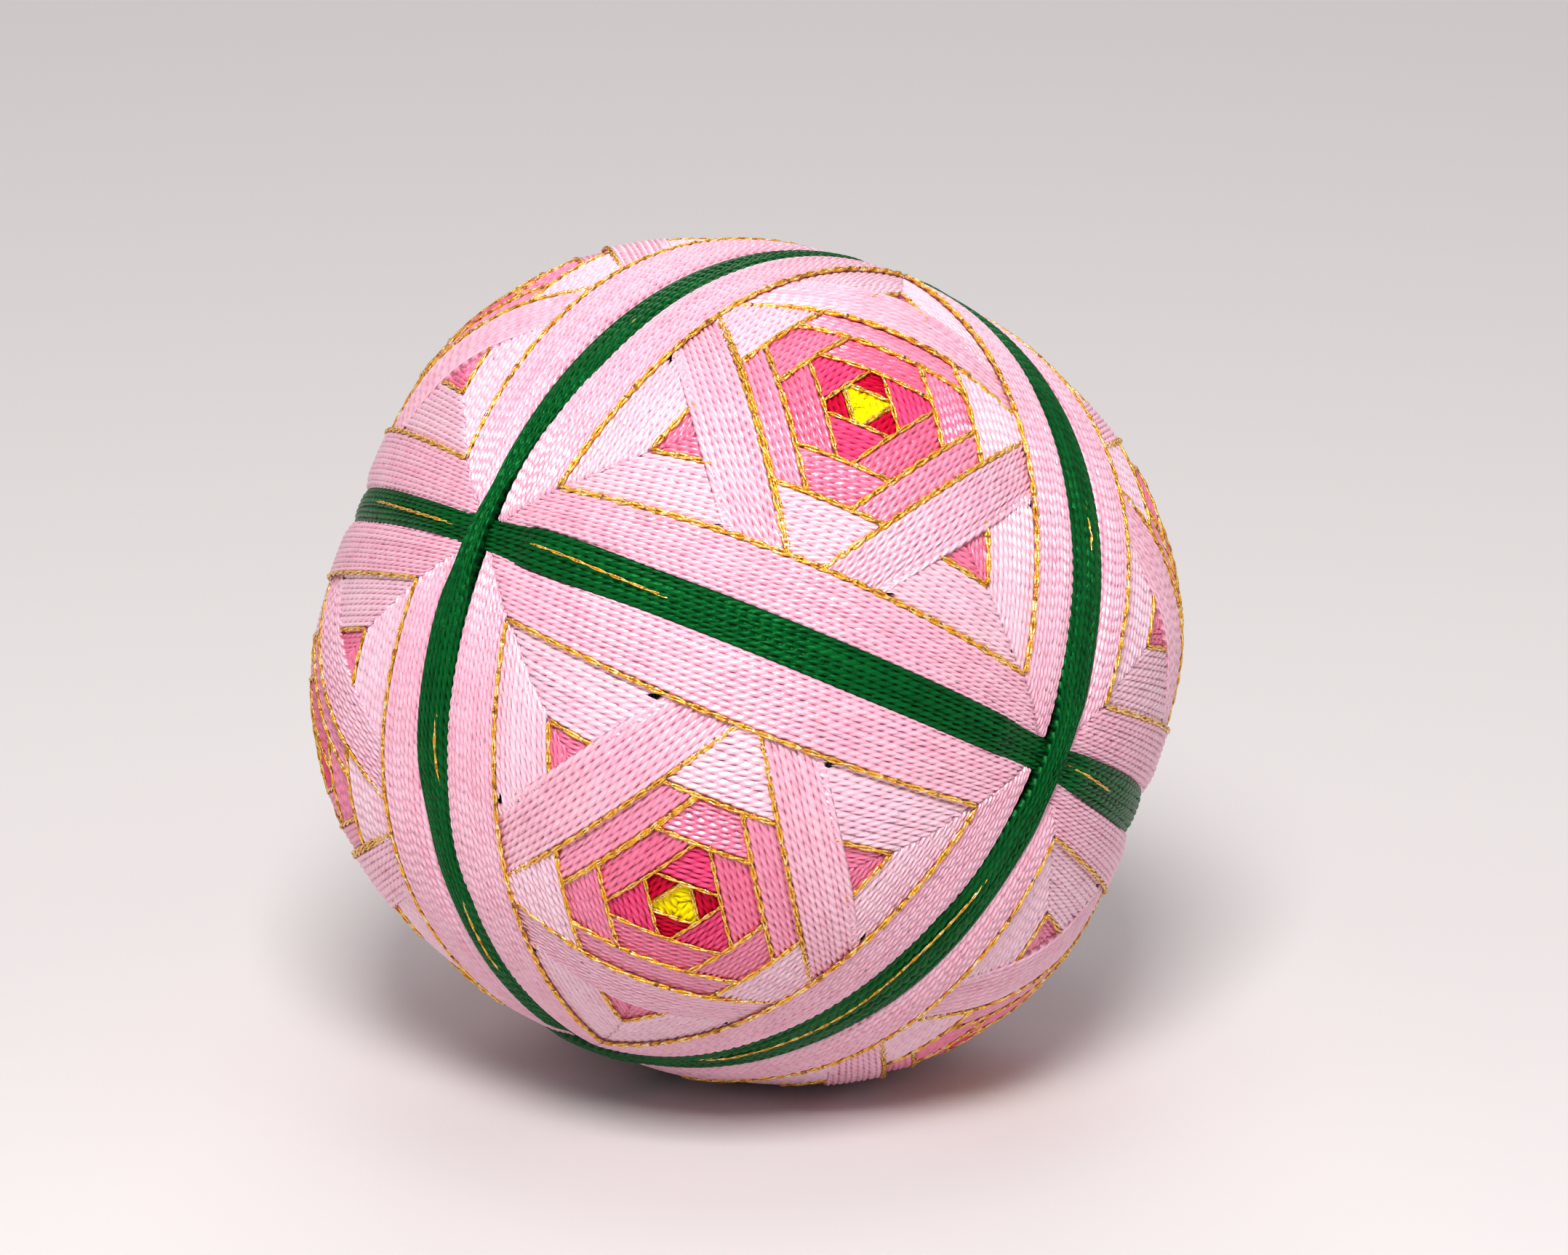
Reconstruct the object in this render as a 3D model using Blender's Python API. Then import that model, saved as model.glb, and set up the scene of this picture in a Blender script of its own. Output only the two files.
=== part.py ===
"""Temari ball: a wound thread ball with green bands and eight stitched roses.

Units are metres, +Z is up. The origin is the middle of the small flat spot that
the ball rests on. The ball is modelled in its own frame, whose three axes run
through the crossings of the green bands, and an empty tips that frame over.

Each rose is worked out on the flat plane that touches the ball over the rose's
centre. A stretched thread follows a great circle, and a great circle is a
straight line on that plane, so every edge of a round is a straight cut there.
"""

from math import atan2, cos, hypot, pi, radians, sin, sqrt

import bmesh
import bpy
from mathutils import Matrix, Vector

# Radii of the ball, from its centre
PLANE_RADIUS = 0.0475
ROSE_RADIUS = 0.0483
EDGE_RADIUS = 0.0469
CROSSING_RADIUS = 0.0466
BAND_RADIUS = 0.0463
INNER_RADIUS = 0.0447
BASE_RADIUS = 0.0443

# Room between neighbouring pieces
GAP = 0.00032

# How the ball lies: the turn about +Z, and how far it is tipped over
TURN = radians(-45.5)
LEAN = radians(31.0)
FLAT_DEPTH = 0.0006

# Edges of the rounds, as distances from the rose's centre to a straight side.
# They are measured on the touching plane, in parts of PLANE_RADIUS. The sides
# of an upright round run along the bands, and those of a turned round across
# the corners between them.
HEART_UPRIGHT, HEART_TURNED = 0.066, 0.042
RED_UPRIGHT, RED_TURNED = 0.170, 0.188
PINK_UPRIGHT, PINK_TURNED = 0.285, 0.265
STRAP_OUTER = 0.412
PALE_UPRIGHT = 0.455
BORDER_UPRIGHT = 0.640
BORDER_TIP = 1.205
BAND_MIDDLE = sqrt(0.5)

# Heights of the relief
STRAP_RISE = 0.00050
CORNER_DROP = 0.00025
STEP_WIDTH = 0.010
BORDER_ROLL = 0.035
BORDER_ROLL_DEPTH = 0.00035

# Green bands
BAND_STEPS = 72
BAND_CROWN = 0.00025
UNDER_RADIUS = 0.0453
OVER_INNER_RADIUS = 0.0456
CROSSING_ANGLE = radians(10.0)

# Longest edge before it is divided to follow the ball, and the sheet's spare rim
LONGEST_EDGE = 0.17
SHEET_RIM = 0.10

# Directions on the plane from a rose's centre to the three bands around it
SIDE_ANGLES = (radians(-90), radians(30), radians(150))

ROSE_COLUMNS = ("name", "a", "b", "c", "shift_u", "shift_v")
ROSES = (
    ("front_upper", 1, 1, 1, 0.006, -0.016),
    ("front_lower", 1, 1, -1, -0.030, 0.045),
    ("left_upper", 1, -1, 1, 0.012, -0.010),
    ("left_lower", 1, -1, -1, -0.014, 0.012),
    ("right_upper", -1, 1, 1, -0.010, -0.012),
    ("right_lower", -1, 1, -1, 0.015, 0.008),
    ("back_upper", -1, -1, 1, -0.008, 0.014),
    ("back_lower", -1, -1, -1, 0.010, 0.010),
)

BANDS = (
    {"name": "band_first", "round": (0, 0, 1), "over": ()},
    {"name": "band_second", "round": (0, 1, 0), "over": ("band_first",)},
    {"name": "band_third", "round": (1, 0, 0), "over": ("band_first", "band_second")},
)

COLOURS = {
    "base": ((0.030, 0.034, 0.045), 0.85),
    "green": ((0.003, 0.110, 0.022), 0.60),
    "yellow": ((0.920, 0.760, 0.010), 0.60),
    "red": ((0.430, 0.010, 0.050), 0.55),
    "pink": ((0.680, 0.130, 0.260), 0.55),
    "pale": ((0.830, 0.420, 0.560), 0.55),
    "border": ((0.800, 0.360, 0.500), 0.55),
}


def clear_scene():
    for item in list(bpy.data.objects):
        bpy.data.objects.remove(item, do_unlink=True)


def make_material(name):
    colour, roughness = COLOURS[name]
    material = bpy.data.materials.new(name + "_thread")
    material.use_nodes = True
    shader = material.node_tree.nodes["Principled BSDF"]
    shader.inputs["Base Color"].default_value = (*colour, 1.0)
    shader.inputs["Roughness"].default_value = roughness
    shader.inputs["Metallic"].default_value = 0.0
    return material


def ease(t):
    t = min(max(t, 0.0), 1.0)
    return t * t * (3 - 2 * t)


def tipped_frame():
    """The ball's own axes a, b and c as the columns of a rotation."""
    axis_a = Vector((cos(LEAN) * sin(TURN), -cos(LEAN) * cos(TURN), sin(LEAN)))
    axis_b = Vector((cos(TURN), sin(TURN), 0.0))
    return Matrix((axis_a, axis_b, axis_a.cross(axis_b))).transposed()


def rest_height():
    return BAND_RADIUS - FLAT_DEPTH


def upright_level(u, v):
    return max(u * cos(t) + v * sin(t) for t in SIDE_ANGLES)


def turned_level(u, v):
    return max(-u * cos(t) - v * sin(t) for t in SIDE_ANGLES)


def shifted(distance, angle, rose):
    """A side's distance once the rose's own centre has moved; the border's edge stays."""
    share = 1 - ease((distance - 0.25) / 0.40)
    return distance + share * (rose["shift_u"] * cos(angle) + rose["shift_v"] * sin(angle))


def half_gap(distance):
    """Half the gap between two pieces, on the plane at this distance from its centre."""
    return 0.5 * GAP / PLANE_RADIUS * (1 + distance * distance)


def dome_radius(u, v):
    """The ball is fullest over a rose and lower along the bands and at their crossings."""
    edge = EDGE_RADIUS + (CROSSING_RADIUS - EDGE_RADIUS) * ease((hypot(u, v) - 0.8) / 0.6)
    return edge + (ROSE_RADIUS - edge) * ease((0.66 - upright_level(u, v)) / 0.40)


def rose_frame(rose):
    """The rose's outward direction and the plane's u and v directions."""
    out = Vector((rose["a"], rose["b"], rose["c"])).normalized()
    up = Vector((0, 0, rose["c"]))
    up = (up - out * up.dot(out)).normalized()
    return out, up.cross(out), up


def flat_sheet():
    """A flat triangle that covers the whole rose, to be cut to a piece's outline."""
    mesh = bmesh.new()
    tip = 2 * BORDER_UPRIGHT + SHEET_RIM
    corners = [mesh.verts.new((tip * cos(t + pi), tip * sin(t + pi), 0)) for t in SIDE_ANGLES]
    mesh.faces.new(corners)
    return mesh


def divide_long_edges(mesh):
    """Points along the edges let a flat piece bend round the ball."""
    for edge in mesh.edges[:]:
        start, end = (vert.co for vert in edge.verts)
        middle = (start + end) / 2
        on_ball = (end - start).length / (1 + middle.length_squared) ** 0.75
        cuts = int(on_ball / LONGEST_EDGE)
        if cuts:
            bmesh.ops.subdivide_edges(mesh, edges=[edge], cuts=cuts)
    bmesh.ops.triangulate(mesh, faces=mesh.faces[:])


def slice_sheet(mesh, distance, angle, drop_outside=False):
    direction = Vector((cos(angle), sin(angle), 0))
    bmesh.ops.bisect_plane(
        mesh,
        geom=mesh.verts[:] + mesh.edges[:] + mesh.faces[:],
        dist=1e-5,
        plane_co=direction * distance,
        plane_no=direction,
        clear_outer=drop_outside,
    )


def round_sides(rose, upright=None, turned=None):
    """The straight sides of a shape bounded by an upright and a turned triangle."""
    sides = []
    for angle in SIDE_ANGLES:
        if upright is not None:
            sides.append((shifted(upright, angle, rose), angle))
        if turned is not None:
            sides.append((shifted(turned, angle + pi, rose), angle + pi))
    return sides


def keep_inside(mesh, sides):
    for distance, angle in sides:
        slice_sheet(mesh, distance - half_gap(distance), angle, drop_outside=True)


def cut_hole(mesh, sides):
    """Take out the middle that another piece of the rose fills."""
    limits = [(distance + half_gap(distance), angle) for distance, angle in sides]
    for distance, angle in limits:
        slice_sheet(mesh, distance, angle)
    inside = []
    for face in mesh.faces:
        middle = face.calc_center_median()
        if all(middle.x * cos(t) + middle.y * sin(t) < distance for distance, t in limits):
            inside.append(face)
    bmesh.ops.delete(mesh, geom=inside, context="FACES")


def fine_slices(mesh, rose, distance, turned):
    """Two slices beside an edge, so that the relief steps there."""
    for side in SIDE_ANGLES:
        angle = side + pi if turned else side
        edge = shifted(distance, angle, rose)
        slice_sheet(mesh, edge, angle)
        slice_sheet(mesh, edge + STEP_WIDTH, angle)


def plain_relief(u, v, rose):
    return 0.0


def strap_relief(u, v, rose):
    """Straps of the last turned round stand proud, and the corners outside them lie low."""
    levels = []
    for side in SIDE_ANGLES:
        angle = side + pi
        along = u * cos(angle) + v * sin(angle)
        inner = shifted(PINK_TURNED, angle, rose)
        outer = shifted(STRAP_OUTER, angle, rose)
        rise = STRAP_RISE * ease((along - inner + STEP_WIDTH) / STEP_WIDTH)
        fall = (STRAP_RISE + CORNER_DROP) * ease((along - outer) / STEP_WIDTH)
        levels.append(rise - fall)
    return min(levels) if min(levels) < 0 else max(levels)


def border_relief(u, v, rose):
    """The border rolls down a little to the green band."""
    outside = (upright_level(u, v) - BORDER_UPRIGHT + BORDER_ROLL) / BORDER_ROLL
    return -BORDER_ROLL_DEPTH * ease(outside)


def raise_piece(mesh, rose, relief):
    """Lift a flat piece onto the ball and give it its thickness down to the base."""
    divide_long_edges(mesh)
    out, across, up = rose_frame(rose)
    for vert in mesh.verts:
        u, v = vert.co.x, vert.co.y
        direction = (out + across * u + up * v).normalized()
        vert.co = direction * (dome_radius(u, v) + relief(u, v, rose))
    grown = bmesh.ops.extrude_face_region(mesh, geom=mesh.faces[:], use_keep_orig=True)
    for item in grown["geom"]:
        if isinstance(item, bmesh.types.BMVert):
            item.co = item.co.normalized() * INNER_RADIUS
    bmesh.ops.recalc_face_normals(mesh, faces=mesh.faces[:])


def press_flat(mesh):
    """Cut the small flat spot that the ball rests on."""
    down = tipped_frame().transposed() @ Vector((0, 0, -1))
    cut = bmesh.ops.bisect_plane(
        mesh,
        geom=mesh.verts[:] + mesh.edges[:] + mesh.faces[:],
        dist=1e-7,
        plane_co=down * rest_height(),
        plane_no=down,
        clear_outer=True,
    )
    rim = [item for item in cut["geom_cut"] if isinstance(item, bmesh.types.BMEdge)]
    if rim:
        bmesh.ops.edgeloop_fill(mesh, edges=rim)
        bmesh.ops.recalc_face_normals(mesh, faces=mesh.faces[:])


def add_object(mesh, name, colour, parent, collection):
    press_flat(mesh)
    bmesh.ops.triangulate(mesh, faces=mesh.faces[:])
    data = bpy.data.meshes.new(name)
    mesh.to_mesh(data)
    mesh.free()
    data.materials.append(colour)
    data.shade_smooth()
    data.set_sharp_from_angle(angle=radians(35))
    item = bpy.data.objects.new(name, data)
    item.parent = parent
    collection.objects.link(item)
    return item


def base_ball():
    """The wound ball under the stitching. Its dark wrap shows in the small gaps."""
    mesh = bmesh.new()
    bmesh.ops.create_icosphere(mesh, subdivisions=3, radius=BASE_RADIUS)
    return mesh


def heart_piece(rose):
    mesh = flat_sheet()
    keep_inside(mesh, round_sides(rose, HEART_UPRIGHT, HEART_TURNED))
    raise_piece(mesh, rose, plain_relief)
    return mesh


def red_piece(rose):
    mesh = flat_sheet()
    keep_inside(mesh, round_sides(rose, RED_UPRIGHT, RED_TURNED))
    cut_hole(mesh, round_sides(rose, HEART_UPRIGHT, HEART_TURNED))
    raise_piece(mesh, rose, plain_relief)
    return mesh


def pink_piece(rose):
    mesh = flat_sheet()
    keep_inside(mesh, round_sides(rose, PINK_UPRIGHT, PINK_TURNED))
    cut_hole(mesh, round_sides(rose, RED_UPRIGHT, RED_TURNED))
    raise_piece(mesh, rose, plain_relief)
    return mesh


def pale_piece(rose):
    mesh = flat_sheet()
    keep_inside(mesh, round_sides(rose, PALE_UPRIGHT))
    cut_hole(mesh, round_sides(rose, PINK_UPRIGHT, PINK_TURNED))
    fine_slices(mesh, rose, STRAP_OUTER, turned=True)
    fine_slices(mesh, rose, PINK_TURNED - STEP_WIDTH, turned=True)
    raise_piece(mesh, rose, strap_relief)
    return mesh


def border_piece(rose):
    mesh = flat_sheet()
    keep_inside(mesh, round_sides(rose, BORDER_UPRIGHT))
    cut_hole(mesh, round_sides(rose, PALE_UPRIGHT))
    for side in SIDE_ANGLES:
        slice_sheet(mesh, BORDER_TIP, side + pi, drop_outside=True)
    for side in SIDE_ANGLES:
        slice_sheet(mesh, BORDER_UPRIGHT - BORDER_ROLL, side)
    raise_piece(mesh, rose, border_relief)
    return mesh


ROSE_PIECES = (
    ("heart", "yellow", heart_piece),
    ("red", "red", red_piece),
    ("pink", "pink", pink_piece),
    ("pale", "pale", pale_piece),
    ("border", "border", border_piece),
)


def crossing_share(angle):
    """1 at a crossing, 0 once past it; crossings come every quarter turn."""
    quarter = pi / 2
    off = abs((angle + quarter / 2) % quarter - quarter / 2)
    return 1 - ease((off - CROSSING_ANGLE / 2) / (CROSSING_ANGLE / 2))


def band_half_width(angle):
    """A band is widest halfway between its crossings, where the borders draw back."""
    quarter = pi / 2
    from_middle = angle % quarter - quarter / 2
    slope = (BAND_MIDDLE - BORDER_UPRIGHT) / (1 + BAND_MIDDLE * BORDER_UPRIGHT)
    return PLANE_RADIUS * slope * cos(from_middle) - GAP


def band_ring(band):
    """A flat ring of threads round the ball, pinched at its crossings."""
    axis = Vector(band["round"])
    start = Vector((axis.y, axis.z, axis.x))
    mesh = bmesh.new()
    profile = []
    for height, radius in ((-1, 0), (-1, 1), (0, 2), (1, 1), (1, 0)):
        profile.append(mesh.verts.new(start * (1 + radius) + axis * height))
    edges = [mesh.edges.new((profile[i], profile[(i + 1) % 5])) for i in range(5)]
    bmesh.ops.spin(
        mesh,
        geom=profile + edges,
        cent=(0, 0, 0),
        axis=axis,
        angle=2 * pi,
        steps=BAND_STEPS,
        use_merge=True,
    )
    shape_band(mesh, band, axis, start)
    bmesh.ops.recalc_face_normals(mesh, faces=mesh.faces[:])
    return mesh


def shape_band(mesh, band, axis, start):
    """Set each point of the ring by its place in the section and round the ball."""
    side = axis.cross(start)
    for vert in mesh.verts:
        height = vert.co.dot(axis)
        flat = vert.co - axis * height
        ring = round(flat.length - 1)
        direction = flat.normalized()
        angle = atan2(direction.dot(side), direction.dot(start)) % (2 * pi)
        outer, inner = band_radii(band, direction, angle)
        radius = inner if ring == 0 else outer
        if ring == 2:
            radius += BAND_CROWN
        vert.co = direction * radius + axis * height * band_half_width(angle)


def band_radii(band, direction, angle):
    share = crossing_share(angle)
    if share == 0:
        return BAND_RADIUS - BAND_CROWN, INNER_RADIUS
    crossed = next(
        other for other in BANDS
        if other is not band and abs(Vector(other["round"]).dot(direction)) < 0.5
    )
    if crossed["name"] in band["over"]:
        inner = INNER_RADIUS + (OVER_INNER_RADIUS - INNER_RADIUS) * share
        return BAND_RADIUS - BAND_CROWN, inner
    outer = BAND_RADIUS + (UNDER_RADIUS - BAND_RADIUS) * share
    return outer - BAND_CROWN, INNER_RADIUS


def main():
    clear_scene()
    collection = bpy.data.collections.new("temari_ball")
    bpy.context.scene.collection.children.link(collection)
    materials = {name: make_material(name) for name in COLOURS}

    centre = bpy.data.objects.new("ball_centre", None)
    frame = tipped_frame().to_4x4()
    frame.translation = (0, 0, rest_height())
    centre.matrix_world = frame
    collection.objects.link(centre)

    add_object(base_ball(), "base_ball", materials["base"], centre, collection)
    for band in BANDS:
        add_object(band_ring(band), band["name"], materials["green"], centre, collection)
    for row in ROSES:
        rose = dict(zip(ROSE_COLUMNS, row))
        for piece, colour, build in ROSE_PIECES:
            name = f"{piece}_{rose['name']}"
            add_object(build(rose), name, materials[colour], centre, collection)


main()
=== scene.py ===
"""Looks of the temari ball: every thread row, the gold threads and the dark base wrap.

Units are metres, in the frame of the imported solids. Each rose is worked out on the
flat plane that touches the ball over its centre: a stretched thread is a great
circle on the ball, and so a straight line on that plane. A level is a distance
on that plane, in parts of PLANE_RADIUS, from the rose's centre to a straight side.
"""

import random
from collections import namedtuple
from math import asin, atan, atan2, ceil, cos, degrees, exp, hypot, pi, radians, sin, sqrt, tan

import bmesh
import bpy
from mathutils import Matrix, Vector, noise


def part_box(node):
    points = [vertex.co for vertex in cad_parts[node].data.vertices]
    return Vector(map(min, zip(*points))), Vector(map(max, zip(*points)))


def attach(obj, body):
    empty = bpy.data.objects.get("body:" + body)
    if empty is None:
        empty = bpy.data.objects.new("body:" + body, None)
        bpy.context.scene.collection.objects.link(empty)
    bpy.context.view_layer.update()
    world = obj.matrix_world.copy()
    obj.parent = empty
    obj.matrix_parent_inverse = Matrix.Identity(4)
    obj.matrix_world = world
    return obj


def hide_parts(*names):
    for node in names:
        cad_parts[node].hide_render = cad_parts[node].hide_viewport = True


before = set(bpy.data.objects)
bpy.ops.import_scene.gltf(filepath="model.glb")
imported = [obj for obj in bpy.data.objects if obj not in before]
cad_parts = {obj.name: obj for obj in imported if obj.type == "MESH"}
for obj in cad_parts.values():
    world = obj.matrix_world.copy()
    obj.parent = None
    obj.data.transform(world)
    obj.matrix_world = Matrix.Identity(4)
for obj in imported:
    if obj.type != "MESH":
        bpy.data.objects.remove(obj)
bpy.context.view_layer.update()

SEED = 7
QUARTER = pi / 2
MILLIMETRE = 0.001
MERGE_DISTANCE = 1e-7

# How the ball lies, as in the solids: its turn about +Z and how far it is tipped
TURN = radians(-45.5)
LEAN = radians(31.0)

# The ball's centre comes from the solids. Its radius is largest on a rose, smaller at
# the edge of a rose's field and smallest where the bands cross.
BASE_LOW, BASE_HIGH = (Vector(corner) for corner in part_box("base_ball"))
CENTRE = (BASE_LOW + BASE_HIGH) / 2
PLANE_RADIUS = 0.0475
ROSE_RADIUS = 0.0484
EDGE_RADIUS = 0.0465
CROSSING_RADIUS = 0.0457

# The dome over a rose ends this far out. Its outline is mostly round, and a little
# three-cornered.
DOME_REACH = 0.68
DOME_ROUND = 0.8
DOME_CORNERED = 0.2

# The edge of a field starts to fall towards a crossing this far out, over this span
EDGE_FALL_START = 0.5
EDGE_FALL_SPAN = 0.9

# A rose's shift fades out from this level on, over this span
SHIFT_START = 0.25
SHIFT_SPAN = 0.40

# Where the ball rests: a point this low or lower is pressed flat
REST_PRESS = 0.0006

# Thread: the height of a row's ridge, and the beads that its two twisted plies make.
# A bead has three stations: the crease between two plies, then its two shoulders.
RIDGE = 0.00020
BEAD_LENGTH = 0.00135
BEAD_LEAN = 1.9
BEAD_STATIONS = 3
RIDGE_RELIEF = (-0.00012, 0.00003, 0.00003)
VALLEY_RELIEF = (-0.00007, 0.00007, 0.00005)
STATION = BEAD_LENGTH / BEAD_STATIONS

# A row is three quads wide, and a skirt runs down along both edges of a round. A row
# keeps a little way off the rose's centre, and its mesh is a little longer than its side.
ROW_QUADS = 3
SKIRT_DEPTH = 0.00065
LOWEST_LEVEL = 0.0005
SPARE_LENGTH = 0.001

# Rows are laid by hand: they are uneven in width, sway along a side, and start their
# beads anywhere. Widths and sways are parts of a row, and bead starts parts of a bead.
ROW_UNEVEN = 0.10
ROW_SWAY = 0.06
SWAY_LENGTH = 0.004
SWAY_PACES = (0.6, 1.4)
BEAD_SHIFT = 0.3

# Here and there two rows part and leave a slit, where a noise of this scale is high
SLIT_DEPTH = 0.00035
SLIT_SCALE = 230.0
SLIT_FROM = 0.22
SLIT_SPAN = 0.25

# At a mitre every other row runs on under its neighbour by the tuck, in parts of the
# plane's radius, and the rest stop short. All of them dip there.
MITRE_TUCK = 0.0055
MITRE_TUCKS = (-0.4 * MITRE_TUCK, MITRE_TUCK)
MITRE_DROP = 0.00030

# A round sinks where a later round covers it, and ends this far inside the cover
COVER_SINK = 0.00060
COVER_MARGIN = 0.014

# Steps between row numbers: every row of a rose has its own, and so its own tone
ROWS_PER_SIDE = 13
ROWS_PER_ROUND = 40

# Levels where one round ends and the next begins
STRAP_INNER = 0.265
STRAP_OUTER = 0.412
PINK_OUTER = 0.277
BORDER_INNER = 0.455
BORDER_EDGE = 0.640

# A strap falls to this height in millimetres at its ends, over this span of levels. The
# rounds that it covers reach a little way in from its outer edge.
STRAP_END = -0.30
STRAP_TAPER = 0.24
STRAP_SHADE = 0.020

# The rounds outside a strap lie lower by this many millimetres. At its ends a dark gap
# shows beside it, from this level on.
STRAP_DIP = 0.15
STRAP_DIP_WIDTH = 0.06
GAP_LEVEL = 0.430
GAP_WIDTH = 0.017

# The border rolls down beside a band, and its last rows go on under the band
BORDER_ROLL = 0.00030
BORDER_ROLL_WIDTH = 0.0018
BORDER_TUCK = 0.0011
BORDER_TUCK_START = 0.0002

# Green bands: rows of thread, lower at a band's edges. A band draws together and rises
# where it passes over another, and dips where it passes under.
BAND_RADIUS = 0.0461
UNDER_RADIUS = 0.0454
BAND_MIDDLE = sqrt(0.5)
BAND_ROWS = 7
BAND_ROUNDING = 0.00040
BAND_SWAY = 0.05
BAND_SWAY_WAVES = (9, 17)
BAND_SLIT_STEP = 0.05
BAND_OVERLAP = 0.0007
CROSSING_ANGLE = radians(10.0)
CROSSING_PINCH = 0.25
CROSSING_RISE = 0.00020

# Gold thread: two fine strands wound round each other, unevenly. It lies just inside
# the inner edge of its round, and runs of fewer points than the shortest are left out.
STRAND_RADIUS = 0.00018
STRAND_OFFSET = 0.00020
STRAND_FLATTENING = 0.6
STRAND_PITCH = 0.0046
STRAND_PITCHES = (0.8, 1.25)
STRAND_STATION = 0.00050
STRAND_SIDES = 5
STRAND_UNEVEN = 0.45
STRAND_UNEVEN_SCALE = 400.0
SHORTEST_PATH = 4
STRAND_MAP_SCALE = 100
GOLD_INSET = 0.005
INNER_GOLD_SCALE = 0.78
LOOSE_GOLD_SCALE = 0.70

# The finer gold thread in the bands, whose ends sink in among the green rows
BAND_GOLD_SCALE = 0.48
BAND_GOLD_HEIGHT = 0.00006
BAND_GOLD_SINK = 0.0004
BAND_GOLD_SINK_STATIONS = 12
BAND_GOLD_SWAY = 0.0002
BAND_GOLD_WAVES = 9

# The dark wrap lies deeper near the crossings. The start and the span are cosines of
# the angle from a crossing.
WRAP_RADIUS = 0.0455
DEEP_WRAP_RADIUS = 0.0447
DEEP_WRAP_START = 0.94
DEEP_WRAP_SPAN = 0.04

# Directions on the plane from a rose's centre to the three bands around it
SIDE_ANGLES = (radians(-90), radians(30), radians(150))

# Signs of the ball's axes in a rose's direction, the shift of its inner rounds on the
# plane, and the thickness of its gold thread
ROSE_COLUMNS = ("name", "a", "b", "c", "shift_u", "shift_v", "gold")
ROSES = (
    ("front_upper", 1, 1, 1, 0.006, -0.016, 1.00),
    ("front_lower", 1, 1, -1, -0.030, 0.045, 0.85),
    ("left_upper", 1, -1, 1, 0.012, -0.010, 0.85),
    ("left_lower", 1, -1, -1, -0.014, -0.030, 0.75),
    ("right_upper", -1, 1, 1, -0.010, 0.045, 0.90),
    ("right_lower", -1, 1, -1, 0.015, 0.008, 0.80),
    ("back_upper", -1, -1, 1, -0.008, 0.014, 0.90),
    ("back_lower", -1, -1, -1, 0.010, 0.010, 0.85),
)

# Rounds from the heart outwards, in the order they are stitched. Inner and outer are
# levels, and lifts are millimetres above the dome.
ROUND_COLUMNS = ("name", "turned", "inner", "outer", "rows", "lift_in", "lift_out", "piece")
ROUNDS = (
    ("yellow", False, 0.000, 0.066, 4, -0.55, -0.50, "heart"),
    ("deep_red", True, 0.042, 0.102, 4, -0.25, -0.40, "red"),
    ("hot_pink", False, 0.066, 0.170, 7, -0.05, -0.25, "red"),
    ("rose_pink", True, 0.102, 0.188, 6, 0.05, -0.20, "red"),
    ("mid_pink", False, 0.170, PINK_OUTER, 8, 0.10, -0.20, "pink"),
    ("soft_pink", True, 0.188, STRAP_INNER, 5, 0.10, -0.15, "pink"),
    ("white_pink", False, PINK_OUTER, BORDER_INNER, 10, 0.10, -0.15, "pale"),
    ("strap_pink", True, STRAP_INNER, STRAP_OUTER, 9, 0.32, 0.28, "pale"),
    ("border_pink", False, BORDER_INNER, 0.677, 12, 0.10, -0.05, "border"),
)
ROUNDS = [dict(zip(ROUND_COLUMNS, row)) for row in ROUNDS]

# The pieces of a rose, each standing for one solid, with a slot name for each
PIECE_SLOTS = {"heart": "yellow", "red": "red", "pink": "pink", "pale": "pale", "border": "border"}

# A side laid wider than the others: rose, round and side, with the level added to it
WIDE_SIDES = {("front_upper", "strap_pink", 0): 0.045}

# Gold threads laid a second time, loosely beside the first: rose, round, side and inset
LOOSE_GOLD = (
    ("front_upper", "strap_pink", 1, 0.012),
    ("front_lower", "soft_pink", 2, 0.009),
    ("left_lower", "strap_pink", 0, 0.013),
    ("back_upper", "soft_pink", 1, 0.011),
)

# Bands in the order they are wound. Angles are degrees from the band's start axis.
# A gold thread shows between each pair of angles in gold, at so many millimetres off
# the middle. The hand-wound bands wander: at each angle, millimetres towards the
# round axis, and the width in parts of the even band's.
BANDS = (
    {
        "name": "band_first", "round": "c", "start": "a", "over": (),
        "gold": ((6, 33, 0.1), (95, 112, 0.2), (188, 215, 0.0), (262, 287, 0.3), (328, 357, 0.1)),
        "wander": ((0, 0.0, 1.10), (10, 0.0, 1.30), (32, 0.0, 1.08), (90, 0.0, 1.15),
                   (112, 0.0, 1.3), (150, 0.2, 1.0), (225, -0.3, 1.1), (290, 0.3, 0.95),
                   (330, 0.0, 0.95), (350, 0.0, 0.90)),
    },
    {
        "name": "band_second", "round": "b", "start": "c", "over": ("band_first",),
        "gold": ((50, 56, 0.2), (112, 127, 0.7), (140, 160, 0.5), (200, 235, 0.0), (290, 330, 0.0)),
        "wander": ((0, 0.1, 0.8), (30, 0.0, 0.9), (60, 0.0, 0.95), (82, -0.5, 0.70),
                   (92, -0.85, 1.15), (105, -1.05, 1.2), (120, -1.25, 1.18), (134, -0.9, 0.88),
                   (150, -0.3, 0.95), (180, 0.0, 1.0), (225, 0.3, 1.1), (270, -0.2, 0.95),
                   (315, 0.2, 1.05)),
    },
    {
        "name": "band_third", "round": "a", "start": "b", "over": ("band_first", "band_second"),
        "gold": ((27, 37, -0.3), (130, 165, 0.2), (225, 240, 0.0), (288, 345, 0.6)),
        "wander": ((0, -1.6, 1.35), (20, -0.9, 1.3), (45, -0.8, 1.35), (70, -1.3, 1.2),
                   (90, -0.3, 0.9), (135, 0.3, 1.0), (180, 0.0, 1.1), (225, -0.3, 0.95),
                   (270, 0.0, 1.0), (300, -0.7, 1.25), (325, -1.3, 1.40), (345, -1.5, 1.20)),
    },
)
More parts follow.
